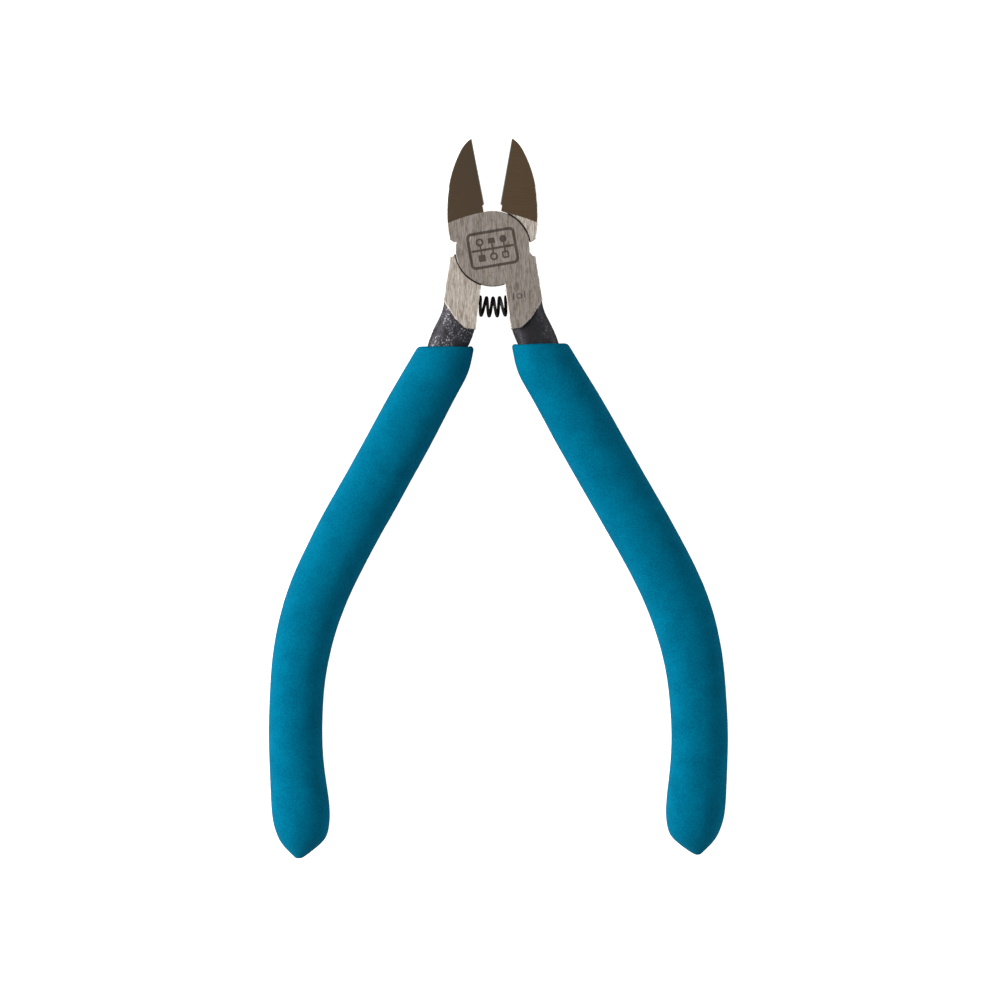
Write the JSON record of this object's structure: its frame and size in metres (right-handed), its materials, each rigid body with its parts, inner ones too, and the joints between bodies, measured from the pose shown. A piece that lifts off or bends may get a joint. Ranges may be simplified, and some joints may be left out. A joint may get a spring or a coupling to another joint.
{
  "type": "sprue nippers",
  "caption": "Slim side-cutting nippers with a flush-riveted lap joint, tapered flush blades, a return spring between the shanks and long foam-dipped handles.",
  "frame": {"origin": "on the pivot axis, at the flat back face of the lap joint", "axes": "+Y from the pivot to the blade tips, +X to the right across the handles, +Z out of the front face, the side the cutting edges lie on"},
  "size_m": [0.0834, 0.1305, 0.01],
  "materials": {
    "lever_steel": "ground carbon steel, brown-grey blades, blackened forged neck",
    "rivet_steel": "ground flush with the joint",
    "spring_black": "black oxide",
    "grip_foam": "matte foamed vinyl, teal"
  },
  "bodies": {
    "front_half": {"front_lever": "lever_steel", "pivot_rivet": "rivet_steel", "right_grip": "grip_foam", "return_spring": "spring_black"},
    "rear_half": {"rear_lever": "lever_steel", "left_grip": "grip_foam"}
  },
  "joints": [
    {"name": "jaw_pivot", "type": "hinge", "parent": "front_half", "child": "rear_half", "pos_m": [0, 0, 0], "axis": [0, 0, 1], "range_deg": [-17.5, 20.6], "stiffness_Nm_per_rad": 0.2, "deforming": ["return_spring"]}
  ]
}
